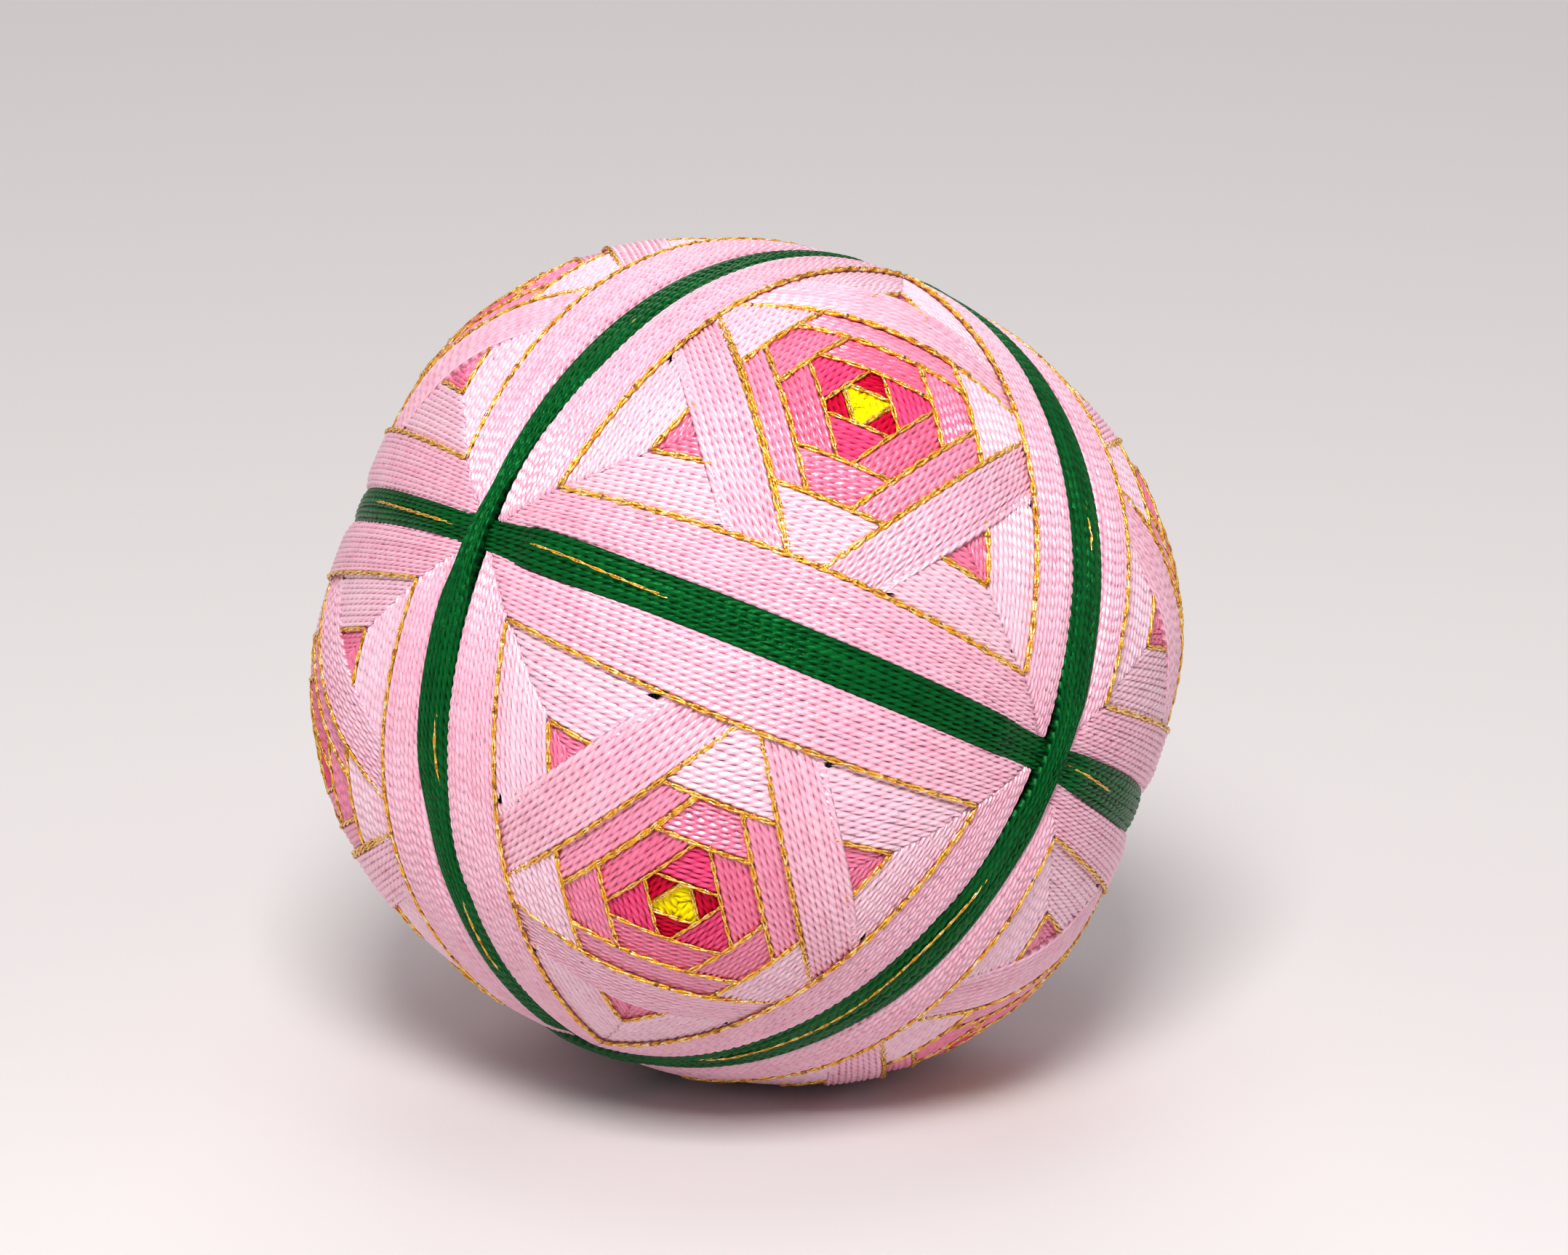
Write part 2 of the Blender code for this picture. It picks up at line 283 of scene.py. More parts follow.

# Each thread's own colour on a bead's crest; a darker colour on its flanks, partly its own tone and
# partly painted shade; and painted shade in the valley between rows
THREAD_COLOURS_AND_SHADES = {
    "yellow": ((1.00, 0.86, 0.003), (0.97, 0.76, 0.003), (0.72, 0.44, 0.001)),
    "deep_red": ((0.62, 0.004, 0.040), (0.44, 0.001, 0.022), (0.13, 0.000, 0.007)),
    "hot_pink": ((0.86, 0.085, 0.225), (0.70, 0.028, 0.125), (0.28, 0.004, 0.038)),
    "rose_pink": ((0.88, 0.135, 0.295), (0.75, 0.060, 0.180), (0.34, 0.010, 0.058)),
    "mid_pink": ((0.89, 0.190, 0.360), (0.77, 0.095, 0.235), (0.38, 0.022, 0.080)),
    "soft_pink": ((0.91, 0.310, 0.470), (0.80, 0.180, 0.330), (0.42, 0.045, 0.120)),
    "white_pink": ((0.95, 0.620, 0.735), (0.86, 0.410, 0.550), (0.42, 0.120, 0.200)),
    "strap_pink": ((0.94, 0.530, 0.660), (0.83, 0.320, 0.460), (0.40, 0.085, 0.160)),
    "border_pink": ((0.93, 0.510, 0.645), (0.82, 0.300, 0.440), (0.40, 0.080, 0.155)),
    "green": ((0.001, 0.085, 0.015), (0.000, 0.027, 0.004), (0.000, 0.002, 0.000)),
}

# The strongly dyed threads shine less than the pale ones, and in their own colour with
# a share of white in it
THREAD_GLOSS = {"green": 0.45, "deep_red": 0.45, "yellow": 0.22, "hot_pink": 0.52}
PALE_GLOSS = 0.90
SHINE_WHITE = 0.08

# Colours of the gold foil's facets, one for each facet at random: painted shade for its dark folds,
# its own orange and gold, and painted glints
GOLD_SHADE_TONES_AND_GLINTS = (
    (0.0, (0.20, 0.050, 0.002)),
    (0.26, (0.78, 0.34, 0.012)),
    (0.70, (1.00, 0.57, 0.050)),
    (1.0, (1.0, 0.93, 0.50)),
)

FLOOR_SIZE = 3.0
FLOOR_COLOUR = (0.70, 0.665, 0.67, 1)
WORLD_COLOUR = (0.95, 0.94, 0.95, 1)
WORLD_STRENGTH = 0.22

# Soft lights: name, place, side of the square, watts and colour
LIGHTS = (
    ("key", (-0.04, -0.58, 0.74), 0.30, 8.6, (1.0, 0.99, 0.97)),
    ("top", (0.0, 0.10, 0.90), 0.40, 1.2, (1.0, 0.99, 0.98)),
    ("left", (-0.70, -0.20, 0.45), 0.60, 0.7, (1.0, 0.98, 1.0)),
    ("right", (0.70, -0.20, 0.45), 0.60, 0.8, (1.0, 0.98, 1.0)),
    ("back", (0.0, 1.30, 0.90), 0.80, 5.5, (1.0, 0.97, 0.95)),
)

# The photo's size, and the ball's centre and radius in it, in pixels
PHOTO_WIDTH = 2156
PHOTO_HEIGHT = 1725
BALL_PIXEL = (1026.5, 909.0)
BALL_RADIUS_PIXELS = 592.0

# The camera stands this many radii of the ball from its centre
CAMERA_RADII = 20
CAMERA_DISTANCE = CAMERA_RADII * PLANE_RADIUS
CAMERA_ELEVATION = radians(18.0)
CAMERA_CLIP = 0.05
SENSOR_WIDTH = 36.0

# Where a vertex lies on a rose's plane, past which end of its side, and if under a band
Spot = namedtuple("Spot", "x y end under_band")


def ball_axes():
    """The ball's own axes, which run out through the crossings of its bands."""
    axis_a = Vector((cos(LEAN) * sin(TURN), -cos(LEAN) * cos(TURN), sin(LEAN)))
    axis_b = Vector((cos(TURN), sin(TURN), 0.0))
    return {"a": axis_a, "b": axis_b, "c": axis_a.cross(axis_b)}


AXES = ball_axes()


def ease(t):
    """0 up to t = 0, 1 from t = 1, and a smooth rise between them."""
    t = min(max(t, 0.0), 1.0)
    return t * t * (3 - 2 * t)


def make_rose(row):
    """A row of the table with its outward direction and its plane's two directions."""
    rose = dict(zip(ROSE_COLUMNS, row))
    out = sum((AXES[key] * rose[key] for key in "abc"), Vector()).normalized()
    up = AXES["c"] * rose["c"]
    up = (up - out * up.dot(out)).normalized()
    return rose | {"out": out, "across": up.cross(out), "up": up}


def side_level(x, y, turned):
    """The level of a point that lies at x and y from the rounds' centre."""
    sign = -1 if turned else 1
    return max(sign * (x * cos(t) + y * sin(t)) for t in SIDE_ANGLES)


def shift_share(level):
    """Inner rounds follow the rose's own centre; the border keeps to the bands."""
    return 1 - ease((level - SHIFT_START) / SHIFT_SPAN)


def round_level(rose, x, y, turned):
    """A point's level among the rounds of one kind, with the rose's shift taken off.

    The shift depends on the level, so the level is worked out again with it.
    """
    level = side_level(x, y, turned)
    for _ in range(2):
        share = shift_share(level)
        level = side_level(x - share * rose["shift_u"], y - share * rose["shift_v"], turned)
    return level


def round_levels(rose, x, y):
    """Levels of a point among the upright rounds and among the turned ones."""
    return round_level(rose, x, y, False), round_level(rose, x, y, True)


def dome_radius(x, y):
    """The ball's radius: highest on a rose, lower along the bands and lowest at the crossings."""
    reach = hypot(x, y)
    fall = ease((reach - EDGE_FALL_START) / EDGE_FALL_SPAN)
    edge = EDGE_RADIUS + (CROSSING_RADIUS - EDGE_RADIUS) * fall
    share = 1 - ease((DOME_ROUND * reach + DOME_CORNERED * side_level(x, y, False)) / DOME_REACH)
    return edge + (ROSE_RADIUS - edge) * share


def rose_point(rose, x, y, height):
    """A place on the ball, from its place on a rose's plane and its height over the dome."""
    direction = (rose["out"] + rose["across"] * x + rose["up"] * y).normalized()
    return CENTRE + direction * (dome_radius(x, y) + height)


def side_place(rose, turned, side, level, along, tuck=0.0):
    """A place on the plane: level out from the rose's centre and an arc length along the side.

    It stops where the side meets its neighbour, or a little past it by tuck, and the
    third value says at which end it stopped.
    """
    angle = SIDE_ANGLES[side] + (pi if turned else 0)
    share = shift_share(level)
    reach = tan(along / PLANE_RADIUS) * sqrt(1 + level * level)
    limit = sqrt(3) * level + tuck
    end = 1 if reach > limit else -1 if reach < -limit else 0
    reach = min(max(reach, -limit), limit)
    x = share * rose["shift_u"] + level * cos(angle) + reach * sin(angle)
    y = share * rose["shift_v"] + level * sin(angle) - reach * cos(angle)
    return x, y, end


def row_lift(thread_round, share, levels):
    """Height over the dome of a round's rows; share is 0 at its inner edge and 1 at its outer."""
    upright, turned = levels
    lift = thread_round["lift_in"] * (1 - share) + thread_round["lift_out"] * share
    if thread_round["name"] == "strap_pink":
        lift = STRAP_END + (lift - STRAP_END) * ease((BORDER_INNER - upright) / STRAP_TAPER)
    if thread_round["name"] in ("mid_pink", "white_pink"):
        lift -= STRAP_DIP * ease((turned - STRAP_OUTER + STRAP_DIP_WIDTH) / STRAP_DIP_WIDTH)
    return lift * MILLIMETRE


def cover_depth(index, levels):
    """How far a place lies inside what the later rounds cover; negative in the open."""
    upright, turned = levels
    depths = [-1.0]
    for later in ROUNDS[index + 1:]:
        level = turned if later["turned"] else upright
        far_edge = later["outer"]
        if later["name"] == "strap_pink":
            far_edge -= STRAP_SHADE
        depths.append(min(level - later["inner"], far_edge - level))
    if index < len(ROUNDS) - 1:
        depths.append(upright - BORDER_INNER)
    return max(depths)


def is_gap(index, levels):
    """The few places beside a strap's end where the dark base shows."""
    upright, turned = levels
    if ROUNDS[index]["name"] != "white_pink":
        return False
    return upright > GAP_LEVEL and STRAP_OUTER < turned < STRAP_OUTER + GAP_WIDTH


def grid_verts(mesh, length, width):
    """A new grid of quads, as {(station, column): vertex}."""
    made = bmesh.ops.create_grid(mesh, x_segments=length, y_segments=width, size=0.5)
    return {
        (round((v.co.x + 0.5) * length), round((v.co.y + 0.5) * width)): v
        for v in made["verts"]
    }


def grid_faces(verts):
    return {face for vert in verts.values() for face in vert.link_faces}


def map_faces(faces, uv_layer, maps):
    """Shade faces smooth and give their corners the vertices' places in the UV map."""
    for face in faces:
        face.smooth = True
        for loop in face.loops:
            loop[uv_layer].uv = maps[loop.vert]


def crossing_share(angle):
    """1 at a crossing of two bands, 0 once past it."""
    off = abs((angle + QUARTER / 2) % QUARTER - QUARTER / 2)
    return 1 - ease((off - CROSSING_ANGLE / 2) / (CROSSING_ANGLE / 2))


def band_half_width(angle):
    """Half the width of an even band: widest midway between two crossings."""
    slope = (BAND_MIDDLE - BORDER_EDGE) / (1 + BAND_MIDDLE * BORDER_EDGE)
    return PLANE_RADIUS * slope * cos(angle % QUARTER - QUARTER / 2)


def band_wander(band, angle):
    """How far a band strays from its middle, in metres, and its width against an even band's."""
    turn = degrees(angle) % 360
    marks = band["wander"] + ((360,) + band["wander"][0][1:],)
    for before, after in zip(marks, marks[1:]):
        if turn <= after[0]:
            share = ease((turn - before[0]) / (after[0] - before[0]))
            stray, width = (b + (a - b) * share for b, a in zip(before[1:], after[1:]))
            return stray * MILLIMETRE, width
    return 0.0, 1.0


def band_edge_gap(point):
    """How far a point on the ball lies outside the nearest edge of a band; negative under it."""
    direction = (point - CENTRE).normalized()
    gaps = []
    for band in BANDS:
        axis, start = AXES[band["round"]], AXES[band["start"]]
        angle = atan2(direction.dot(axis.cross(start)), direction.dot(start))
        stray, width = band_wander(band, angle)
        off = asin(direction.dot(axis)) * BAND_RADIUS - stray
        gaps.append(abs(off) - band_half_width(angle) * width)
    return min(gaps)


def band_top(band, angle):
    """Radius of a band's top: the lower band dips where another crosses it."""
    share = crossing_share(angle)
    at_start = cos(angle) ** 2 > 0.5
    crossed = next(
        other for other in BANDS
        if other is not band and (other["round"] != band["start"]) == at_start
    )
    if share == 0 or crossed["name"] in band["over"]:
        return BAND_RADIUS
    return BAND_RADIUS + (UNDER_RADIUS - BAND_RADIUS) * share


def band_point(band, angle, across, height):
    """A place on a band; its threads draw together where it passes over another band."""
    axis, start = AXES[band["round"]], AXES[band["start"]]
    direction = start * cos(angle) + axis.cross(start) * sin(angle)
    top = band_top(band, angle)
    stray, width = band_wander(band, angle)
    across *= width
    if top == BAND_RADIUS:
        share = crossing_share(angle)
        across *= 1 - CROSSING_PINCH * share
        height += CROSSING_RISE * share
    return CENTRE + direction * (top + height) + axis * (across + stray)


def border_drop(gap):
    """The border's last rows roll down beside a band and on under it."""
    roll = BORDER_ROLL * ease(1 - gap / BORDER_ROLL_WIDTH)
    return roll + BORDER_TUCK * ease((BORDER_TUCK_START - gap) / BAND_OVERLAP)


def bead_relief(on_ridge, bead, place):
    """Height of a bead on a row's ridge, or in the valley between two rows."""
    if on_ridge:
        return RIDGE_RELIEF[bead]
    slit = SLIT_DEPTH * ease((noise.noise(place * SLIT_SCALE) - SLIT_FROM) / SLIT_SPAN)
    return VALLEY_RELIEF[bead] - RIDGE - slit


def thread_map(station, in_skirt, row):
    """A vertex's beads and rows in the UV map; a skirt keeps to the creases between beads."""
    beads = station / BEAD_STATIONS
    return (round(beads) if in_skirt else beads), row


class LaidRows:
    """The rows of one side of a round, as a hand lays them."""

    def __init__(self, thread_round, added, rand):
        count = thread_round["rows"]
        first, last = atan(thread_round["inner"]), atan(thread_round["outer"] + added)
        pitch = (last - first) / count
        self.angles = [first + pitch * i for i in range(count + 1)]
        for i in range(1, count):
            self.angles[i] += pitch * rand.uniform(-ROW_UNEVEN, ROW_UNEVEN)
        self.sways = [(rand.uniform(0, 2 * pi), rand.uniform(*SWAY_PACES)) for _ in self.angles]
        self.shifts = [rand.uniform(-BEAD_SHIFT, BEAD_SHIFT) * BEAD_LENGTH for _ in self.angles]
        self.middle = (self.angles[0] + self.angles[-1]) / 2

    def half_stations(self, thread_round):
        """Stations from a side's middle to its end, with room for the beads' lean."""
        reach = atan(sqrt(3) * thread_round["outer"]) * PLANE_RADIUS
        spare = BEAD_LEAN * (self.angles[-1] - self.middle) * PLANE_RADIUS + SPARE_LENGTH
        return ceil((reach + spare) / STATION)

    def place(self, row, part, station):
        """Angle out from the rose's centre and arc length along the side."""
        angle = self.angles[row]
        if part:
            angle += (self.angles[row + 1] - self.angles[row]) * part / ROW_QUADS
        across = (angle - self.middle) * PLANE_RADIUS
        along = station * STATION + BEAD_LEAN * across
        along += self.shifts[row] if part else (self.shifts[row] + self.shifts[row - 1]) / 2
        phase, pace = self.sways[row]
        width = self.angles[1] - self.angles[0]
        angle += ROW_SWAY * width * sin(phase + pace * along / SWAY_LENGTH)
        return angle, along


def is_laid(rose, index, spots):
    """Whether a face shows: within its side, clear of bands and later rounds, not in a gap."""
    ends = {spot.end for spot in spots}
    past_mitre = len(ends) == 1 and 0 not in ends
    if past_mitre or all(spot.under_band for spot in spots):
        return False
    x = sum(spot.x for spot in spots) / len(spots)
    y = sum(spot.y for spot in spots) / len(spots)
    levels = round_levels(rose, x, y)
    return cover_depth(index, levels) <= COVER_MARGIN and not is_gap(index, levels)


def lay_side(mesh, uv_layer, rose, index, side, rand):
    """One side of a round: rows of twisted thread side by side, tucked in at the mitres."""
    thread_round = ROUNDS[index]
    added = WIDE_SIDES.get((rose["name"], thread_round["name"], side), 0.0)
    laid = LaidRows(thread_round, added, rand)
    half = laid.half_stations(thread_round)
    last = ROW_QUADS * thread_round["rows"]
    first_row = ROWS_PER_ROUND * index + ROWS_PER_SIDE * side
    verts = grid_verts(mesh, 2 * half, last + 2)
    spots, maps = {}, {}
    for (grid_station, column), vert in verts.items():
        station = grid_station - half
        inside = min(max(column - 1, 0), last)
        in_skirt = column in (0, last + 2)
        row, part = divmod(inside, ROW_QUADS)
        angle, along = laid.place(row, part, station)
        level = max(tan(angle), LOWEST_LEVEL)
        tuck = MITRE_TUCKS[(row + side) % 2] if part else 0.0
        x, y, end = side_place(rose, thread_round["turned"], side, level, along, tuck)
        levels = round_levels(rose, x, y)
        height = row_lift(thread_round, inside / last, levels)
        if inside in (0, last):
            height -= RIDGE / 2
        else:
            height += bead_relief(part, station % BEAD_STATIONS, Vector((x, y, index)))
        if end:
            height -= MITRE_DROP
        height -= COVER_SINK * ease(cover_depth(index, levels) / COVER_MARGIN)
        if in_skirt:
            height -= SKIRT_DEPTH
        vert.co = rose_point(rose, x, y, height)
        under_band = False
        if thread_round["name"] == "border_pink":
            gap = band_edge_gap(vert.co)
            vert.co = rose_point(rose, x, y, height - border_drop(gap))
            under_band = gap < -BAND_OVERLAP
        spots[vert] = Spot(x, y, end, under_band)
        maps[vert] = thread_map(station, in_skirt, first_row + inside / ROW_QUADS)
    faces = grid_faces(verts)
    unlaid = {f for f in faces if not is_laid(rose, index, [spots[vert] for vert in f.verts])}
    map_faces(faces - unlaid, uv_layer, maps)
    bmesh.ops.delete(mesh, geom=list(unlaid), context="FACES")


def rested(height):
    """The ball rests on the floor: what would lie lower is pressed flat, layer over layer."""
    return height if height > REST_PRESS else REST_PRESS * exp(height / REST_PRESS - 1)


def finish_piece(mesh, name, materials, slot, *nodes):
    """Merge, make the object, say what it rides on, and hide the solids that it stands for."""
    bmesh.ops.remove_doubles(mesh, verts=mesh.verts[:], dist=MERGE_DISTANCE)
    for vert in mesh.verts:
        vert.co.z = rested(vert.co.z)
    data = bpy.data.meshes.new(name)
    mesh.to_mesh(data)
    mesh.free()
    for material in materials:
        data.materials.append(material)
    piece = bpy.data.objects.new(name, data)
    bpy.context.scene.collection.objects.link(piece)
    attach(piece, "root")
    if nodes:
        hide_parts(*nodes)


def thread_piece(rose, piece_name, rand):
    """The rounds of one rose that stand for one solid."""
    mesh = bmesh.new()
    uv_layer = mesh.loops.layers.uv.new("thread")
    materials = []
    for index, thread_round in enumerate(ROUNDS):
        if thread_round["piece"] != piece_name:
            continue
        known = set(mesh.faces)
        for side in range(len(SIDE_ANGLES)):
            lay_side(mesh, uv_layer, rose, index, side, rand)
        for face in set(mesh.faces) - known:
            face.material_index = len(materials)
        materials.append(MATERIALS[thread_round["name"]])
    name = f"{piece_name}_threads_{rose['name']}"
    node = f"{piece_name}_{rose['name']}"
    finish_piece(mesh, name, materials, PIECE_SLOTS[piece_name], node)


def path_tangent(path, station):
    before, after = path[max(station - 1, 0)], path[min(station + 1, len(path) - 1)]
    return (after - before).normalized()


def tube(mesh, uv_layer, path, normals, radius):
    """A closed tube along a path; its ends draw in to a point."""
    verts = grid_verts(mesh, len(path) - 1, STRAND_SIDES)
    lengths = [0.0]
    for here, there in zip(path, path[1:]):
        lengths.append(lengths[-1] + (there - here).length)
    maps = {}
    for (station, column), vert in verts.items():
        normal = normals[station]
        side = path_tangent(path, station).cross(normal).normalized()
        turn = 2 * pi * column / STRAND_SIDES
        reach = radius if 0 < station < len(path) - 1 else 0.0
        vert.co = path[station] + (normal * cos(turn) + side * sin(turn)) * reach
        maps[vert] = (lengths[station] * STRAND_MAP_SCALE, column / STRAND_SIDES)
    map_faces(grid_faces(verts), uv_layer, maps)


def strand_pair(mesh, uv_layer, path, rand, scale=1.0):
    """Two gold strands wound round each other along a path on the ball."""
    if len(path) < SHORTEST_PATH:
        return
    phase = rand.uniform(0, 2 * pi)
    pitch = STRAND_PITCH * rand.uniform(*STRAND_PITCHES)
    normals = [(point - CENTRE).normalized() for point in path]
    for strand in (0, pi):
        points = []
        for station, (point, normal) in enumerate(zip(path, normals)):
            side = path_tangent(path, station).cross(normal)
            turn = phase + strand + 2 * pi * station * STRAND_STATION / pitch
            unevenness = noise.noise(point * STRAND_UNEVEN_SCALE + Vector((strand, 0, 0)))
            reach = STRAND_OFFSET * scale * (1 + STRAND_UNEVEN * unevenness)
            off = side * cos(turn) + normal * STRAND_FLATTENING * sin(turn)
            points.append(point + off * reach)
        tube(mesh, uv_layer, points, normals, STRAND_RADIUS * scale)


def gold_paths(rose, index, side, inset=GOLD_INSET):
    """The stretches of a round's gold thread that no later round covers."""
    thread_round = ROUNDS[index]
    level = thread_round["inner"] - inset
    reach = atan(sqrt(3) * level / sqrt(1 + level * level)) * PLANE_RADIUS
    count = ceil(2 * reach / STRAND_STATION)
    runs, run = [], []
    for i in range(count + 1):
        along = -reach + 2 * reach * i / count
        x, y, _ = side_place(rose, thread_round["turned"], side, level, along)
        levels = round_levels(rose, x, y)
        depth = cover_depth(index, levels)
        if depth > COVER_MARGIN / 2:
            runs.append(run)
            run = []
            continue
        height = row_lift(thread_round, 0, levels)
        height -= COVER_SINK * ease(depth / COVER_MARGIN)
        run.append(rose_point(rose, x, y, height))
    return [run for run in runs + [run] if run]


def gold_piece(rose, rand):
    """The gold threads of one rose, along the inner edge of every round but the heart."""
    mesh = bmesh.new()
    uv_layer = mesh.loops.layers.uv.new("thread")
    for index in range(1, len(ROUNDS)):
        scale = INNER_GOLD_SCALE if ROUNDS[index]["piece"] == "red" else 1.0
        for side in range(len(SIDE_ANGLES)):
            for path in gold_paths(rose, index, side):
                strand_pair(mesh, uv_layer, path, rand, scale * rose["gold"])
    for rose_name, round_name, side, inset in LOOSE_GOLD:
        if rose_name == rose["name"]:
            index = next(i for i, row in enumerate(ROUNDS) if row["name"] == round_name)
            for path in gold_paths(rose, index, side, inset):
                strand_pair(mesh, uv_layer, path, rand, LOOSE_GOLD_SCALE)
    finish_piece(mesh, f"gold_threads_{rose['name']}", [MATERIALS["gold"]], "gold")


def band_piece(band, rand):
    """One green band: rows of twisted thread wound round the ball."""
    mesh = bmesh.new()
    uv_layer = mesh.loops.layers.uv.new("thread")
    length = BEAD_STATIONS * round(2 * pi * BAND_RADIUS / BEAD_LENGTH)
    last = ROW_QUADS * BAND_ROWS
    verts = grid_verts(mesh, length, last + 2)
    valleys = range(BAND_ROWS + 1)
    sways = [(rand.uniform(0, 2 * pi), rand.randint(*BAND_SWAY_WAVES)) for _ in valleys]
    bead_shifts = [rand.uniform(-BEAD_SHIFT, BEAD_SHIFT) for _ in range(BAND_ROWS)]
    shifts = [shift * BEAD_LENGTH / BAND_RADIUS for shift in bead_shifts]
    lean = BEAD_LEAN * band_half_width(QUARTER / 2) / BAND_RADIUS
    maps = {}
    for (station, column), vert in verts.items():
        inside = min(max(column - 1, 0), last)
        in_skirt = column in (0, last + 2)
        row, part = divmod(inside, ROW_QUADS)
        place = 2 * inside / last - 1
        angle = 2 * pi * station / length + lean * place
        height = -BAND_ROUNDING * abs(place) ** 3
        if part:
            angle += shifts[row]
        if 0 < inside < last:
            slit_place = Vector((angle, BAND_SLIT_STEP * row, 0))
            height += bead_relief(part, station % BEAD_STATIONS, slit_place)
            if not part:
                phase, waves = sways[row]
                place += BAND_SWAY * sin(phase + waves * angle)
        if in_skirt:
            height -= 2 * SKIRT_DEPTH
        vert.co = band_point(band, angle, place * band_half_width(angle), height)
        maps[vert] = thread_map(station, in_skirt, inside / ROW_QUADS)
    map_faces(mesh.faces, uv_layer, maps)
    finish_piece(mesh, f"{band['name']}_threads", [MATERIALS["green"]], "green", band["name"])


def band_gold_piece(rand):
    """The gold thread that shows here and there in the green bands."""
    mesh = bmesh.new()
    uv_layer = mesh.loops.layers.uv.new("thread")
    for band in BANDS:
        for start, end, off_middle in band["gold"]:
            first, last = radians(start), radians(end)
            count = ceil((last - first) * BAND_RADIUS / STRAND_STATION)
            path = []
            for i in range(count + 1):
                angle = first + (last - first) * i / count
                near_end = 1 - ease(min(i, count - i) / BAND_GOLD_SINK_STATIONS)
                height = BAND_GOLD_HEIGHT - BAND_GOLD_SINK * near_end
                across = MILLIMETRE * off_middle + BAND_GOLD_SWAY * sin(BAND_GOLD_WAVES * angle)
                path.append(band_point(band, angle, across, height))
            strand_pair(mesh, uv_layer, path, rand, BAND_GOLD_SCALE)
    finish_piece(mesh, "gold_threads_bands", [MATERIALS["gold"]], "gold")


def base_piece():
    """The dark wrap of the wound ball, under the stitching and deeper at the crossings."""
    mesh = bmesh.new()
    bmesh.ops.create_icosphere(mesh, subdivisions=5, radius=WRAP_RADIUS)
    for vert in mesh.verts:
        near = max(abs(vert.co.normalized().dot(axis)) for axis in AXES.values())
        share = ease((near - DEEP_WRAP_START) / DEEP_WRAP_SPAN)
        vert.co *= 1 - share * (1 - DEEP_WRAP_RADIUS / WRAP_RADIUS)
    bmesh.ops.translate(mesh, verts=mesh.verts[:], vec=CENTRE)
    for face in mesh.faces:
        face.smooth = True
    finish_piece(mesh, "base_wrap", [MATERIALS["base"]], "base", "base_ball")


class Nodes:
    """Short calls for adding and joining shader nodes."""

    def __init__(self, name):
        self.material = bpy.data.materials.new(name)
        self.material.use_nodes = True
        self.tree = self.material.node_tree
        self.shader = self.tree.nodes["Principled BSDF"]

    def add(self, kind, inputs=(), **settings):
        """A shader node, with its settings and its inputs, which are values or links."""
        node = self.tree.nodes.new("ShaderNode" + kind)
        for key, value in settings.items():
            setattr(node, key, value)
        for key, value in dict(inputs).items():
            if isinstance(value, bpy.types.NodeSocket):
                self.tree.links.new(value, node.inputs[key])
            else:
                node.inputs[key].default_value = value
        return node

    def math(self, operation, first, second=0.0, third=0.0):
        node = self.add("Math", {0: first, 1: second, 2: third}, operation=operation)
        return node.outputs[0]

    def centred(self, share):
        """A value between 0 and 1, moved to lie about 0."""
        return self.math("SUBTRACT", share, 0.5)

    def add_up(self, total, *parts):
        """A sum of values, each multiplied by its weight."""
        for value, weight in parts:
            total = self.math("MULTIPLY_ADD", value, weight, total)
        return total

    def mix(self, share, first, second):
        """A blend of two colours, which are inputs 6 and 7 of the node."""
        node = self.add("Mix", {0: share, 6: first, 7: second}, data_type="RGBA")
        return node.outputs[2]

    def ramp(self, share, *stops):
        """A colour ramp with its stops in order, each a position and a colour."""
        node = self.add("ValToRGB", {0: share})
        elements = node.color_ramp.elements
        first, *middle, last = stops
        for element, (position, colour) in zip(elements, (first, last)):
            element.position = position
            element.color = (*colour, 1)
        for position, colour in middle:
            elements.new(position).color = (*colour, 1)
        return node.outputs[0]

    def to_shader(self, **sockets):
        """Set or link the shader's own sockets, named with _ for a space."""
        for key, value in sockets.items():
            name = key.replace("_", " ")
            if isinstance(value, bpy.types.NodeSocket):
                self.tree.links.new(value, self.shader.inputs[name])
            else:
                self.shader.inputs[name].default_value = value


def thread_profile(nodes, beads, rows):
    """Across a row, the square of the distance off its middle; its ridge; the beads' crests."""
    off_middle = nodes.math("MULTIPLY_ADD", nodes.math("FRACT", rows), 2.0, -1.0)
    off_square = nodes.math("MULTIPLY", off_middle, off_middle)
    ridge = nodes.math("SQRT", nodes.math("MAXIMUM", nodes.math("SUBTRACT", 1.0, off_square), 0.0))
    crest = nodes.math("ABSOLUTE", nodes.math("SINE", nodes.math("MULTIPLY", beads, pi)))
    ridge = nodes.math("MAXIMUM", ridge, nodes.math("MULTIPLY", crest, 0.62))
    return off_square, ridge, crest


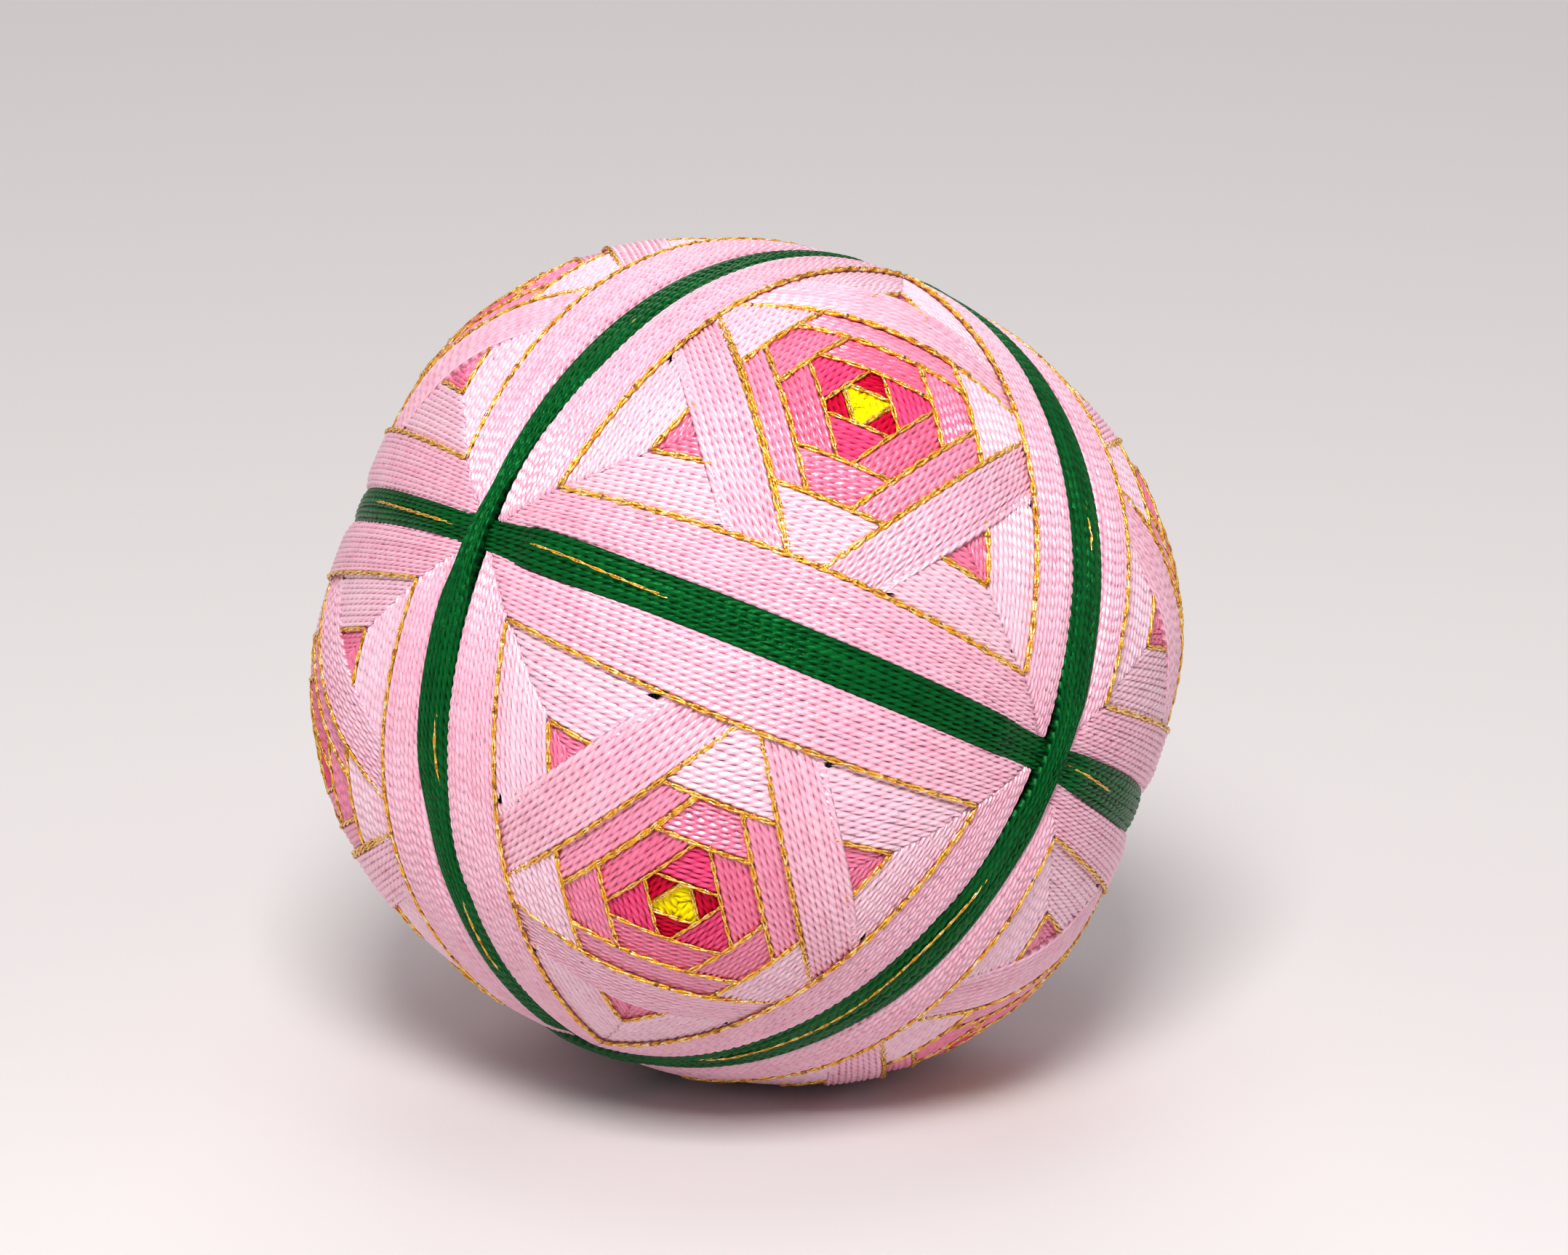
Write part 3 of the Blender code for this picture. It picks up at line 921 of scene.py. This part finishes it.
def thread_material(name, crest_colour, flank_tone_and_shade, valley_shade_colour):
    """Twisted cotton: rows of slanted beads, with painted shade deepening the colour in the creases
    between them and in the valleys between rows.
    """
    nodes = Nodes(f"{name}_thread")
    place = nodes.add("UVMap", uv_map="thread").outputs[0]
    parts = nodes.add("SeparateXYZ", {0: place})
    beads, rows = parts.outputs[0], parts.outputs[1]
    off_square, ridge, crest = thread_profile(nodes, beads, rows)
    ply = nodes.math("POWER", crest, 0.7)

    # Fibres along the plies, a tone for each row, and a faint mottle over them all
    fibre_place = nodes.add(
        "CombineXYZ", {0: nodes.math("MULTIPLY", beads, 1.6), 1: nodes.math("MULTIPLY", rows, 9.0)}
    )
    fibres = nodes.add("TexNoise", {"Vector": fibre_place.outputs[0], "Scale": 1.0, "Detail": 3.0})
    fibres = nodes.centred(fibres.outputs[0])
    row_tone = nodes.add("TexWhiteNoise", {"W": nodes.math("FLOOR", rows)}, noise_dimensions="1D")
    row_tone = nodes.centred(row_tone.outputs[0])
    spot = nodes.add("TexCoord").outputs["Object"]
    mottle = nodes.add("TexNoise", {"Vector": spot, "Scale": 420.0, "Detail": 3.0})
    mottle = nodes.centred(mottle.outputs[0])

    # Painted shade: the colour darkens from the crest of a bead to the crease and to the valley
    # beside it, and the fibres, the rows' tones and the mottle move it about
    edge = nodes.add(
        "MapRange",
        {"Value": off_square, "From Min": 0.42, "From Max": 0.98, "To Min": 0.0, "To Max": 0.62},
    )
    valley_shade_share = nodes.math("MULTIPLY_ADD", crest, -0.85, 1.0)
    edge = nodes.math("MULTIPLY", edge.outputs[0], valley_shade_share)
    crease = nodes.math("SUBTRACT", 1.0, ply)
    depth = nodes.add_up(
        edge, (crease, 0.26), (off_square, 0.20), (fibres, 0.35), (mottle, 0.50), (row_tone, 0.14)
    )
    # The thread's own colour on the crest, then painted shade on the flanks and in the valleys,
    # mixed with the thread's own tones
    colour = nodes.ramp(depth, (0.0, crest_colour), (0.36, flank_tone_and_shade), (0.80, valley_shade_colour))

    # The row's ridge swells over each bead, and fibres show on it
    on_ridge = nodes.math("MULTIPLY", ridge, nodes.math("MULTIPLY_ADD", ply, 0.50, 0.50))
    height = nodes.add_up(on_ridge, (fibres, 0.20))
    bump = nodes.add("Bump", {"Strength": 1.0, "Distance": 0.00015, "Height": height})
    strong = name in THREAD_GLOSS
    brightest = max(crest_colour)
    shine = [SHINE_WHITE + (1 - SHINE_WHITE) * share / brightest for share in crest_colour]
    nodes.to_shader(
        Base_Color=colour,
        Roughness=0.35,
        IOR=1.45 if strong else 1.7,
        Specular_IOR_Level=THREAD_GLOSS.get(name, PALE_GLOSS),
        Specular_Tint=(*shine, 1) if strong else (1, 1, 1, 1),
        Sheen_Weight=0.0 if strong else 0.12,
        Sheen_Roughness=0.4,
        Normal=bump.outputs[0],
    )
    return nodes.material


def gold_material():
    """Metallic foil strands: small bright, orange and dark facets along each strand; the bright
    ones are painted glints and the dark ones painted shade.
    """
    nodes = Nodes("gold_thread")
    place = nodes.add("UVMap", uv_map="thread").outputs[0]
    stretched = nodes.add("VectorMath", {0: place, 1: (22.0, 4.0, 1.0)}, operation="MULTIPLY")
    facets = nodes.add("TexVoronoi", {"Vector": stretched.outputs[0], "Scale": 1.0})
    tone = nodes.add("SeparateXYZ", {0: facets.outputs["Color"]}).outputs[0]
    spot = nodes.add("TexCoord").outputs["Object"]
    wobble = nodes.add("TexNoise", {"Vector": spot, "Scale": 2600.0, "Detail": 2.0}).outputs[0]
    bump = nodes.add("Bump", {"Strength": 1.0, "Distance": 0.00022, "Height": wobble})
    nodes.to_shader(
        Base_Color=nodes.ramp(tone, *GOLD_SHADE_TONES_AND_GLINTS),
        Metallic=0.50,
        Roughness=0.24,
        Normal=bump.outputs[0],
    )
    return nodes.material


def base_material():
    """Dark sewing thread wound every way."""
    nodes = Nodes("base_wrap_thread")
    spot = nodes.add("TexCoord").outputs["Object"]
    wound = nodes.add("TexWave", {"Vector": spot, "Scale": 900.0, "Distortion": 3.0, "Detail": 2.0})
    colour = nodes.mix(wound.outputs["Fac"], (0.02, 0.022, 0.03, 1), (0.16, 0.17, 0.21, 1))
    bump = nodes.add("Bump", {"Strength": 0.8, "Distance": 0.0003, "Height": wound.outputs["Fac"]})
    nodes.to_shader(Base_Color=colour, Roughness=0.8, Normal=bump.outputs[0])
    return nodes.material


def make_materials():
    made = {name: thread_material(name, *tones) for name, tones in THREAD_COLOURS_AND_SHADES.items()}
    made["gold"] = gold_material()
    made["base"] = base_material()
    return made


def build_ball():
    """Every piece, in the order that the ball is made in."""
    rand = random.Random(SEED)
    base_piece()
    for band in BANDS:
        band_piece(band, rand)
    band_gold_piece(rand)
    for row in ROSES:
        rose = make_rose(row)
        for piece_name in PIECE_SLOTS:
            thread_piece(rose, piece_name, rand)
        gold_piece(rose, rand)


def add_stage():
    """A plain pale floor."""
    mesh = bmesh.new()
    bmesh.ops.create_grid(mesh, x_segments=1, y_segments=1, size=FLOOR_SIZE)
    data = bpy.data.meshes.new("floor")
    mesh.to_mesh(data)
    mesh.free()
    floor = bpy.data.objects.new("floor", data)
    bpy.context.scene.collection.objects.link(floor)
    nodes = Nodes("floor_paper")
    nodes.to_shader(Base_Color=FLOOR_COLOUR, Roughness=0.9)
    data.materials.append(nodes.material)


def add_light(name, place, size, power, colour):
    """A square light, aimed at the ball's centre."""
    data = bpy.data.lights.new(name, "AREA")
    data.size = size
    data.energy = power
    data.color = colour
    lamp = bpy.data.objects.new(name, data)
    lamp.location = place
    aim = CENTRE - Vector(place)
    lamp.rotation_euler = aim.to_track_quat("-Z", "Y").to_euler()
    bpy.context.scene.collection.objects.link(lamp)


def add_lights():
    for light in LIGHTS:
        add_light(*light)
    world = bpy.data.worlds.new("studio")
    world.use_nodes = True
    background = world.node_tree.nodes["Background"]
    background.inputs[0].default_value = WORLD_COLOUR
    background.inputs[1].default_value = WORLD_STRENGTH
    bpy.context.scene.world = world


def add_camera():
    """A camera at the photo's angle, which sees the ball at the photo's place and size."""
    focal = BALL_RADIUS_PIXELS * sqrt(CAMERA_RADII ** 2 - 1)
    data = bpy.data.cameras.new("camera")
    data.sensor_width = SENSOR_WIDTH
    data.lens = SENSOR_WIDTH * focal / PHOTO_WIDTH
    data.clip_start = CAMERA_CLIP
    camera = bpy.data.objects.new("camera", data)
    back = Vector((0, -cos(CAMERA_ELEVATION), sin(CAMERA_ELEVATION)))
    up = Vector((0, sin(CAMERA_ELEVATION), cos(CAMERA_ELEVATION)))
    scale = CAMERA_DISTANCE / focal
    right_by = (PHOTO_WIDTH / 2 - BALL_PIXEL[0]) * scale
    up_by = (BALL_PIXEL[1] - PHOTO_HEIGHT / 2) * scale
    spot = CENTRE + back * CAMERA_DISTANCE + Vector((right_by, 0, 0)) + up * up_by
    turn = Matrix((Vector((1, 0, 0)), up, back)).transposed().to_4x4()
    camera.matrix_world = Matrix.Translation(spot) @ turn
    bpy.context.scene.collection.objects.link(camera)
    bpy.context.scene.camera = camera


MATERIALS = make_materials()
add_camera()
add_stage()
add_lights()
bpy.context.scene.view_settings.view_transform = "Standard"
build_ball()
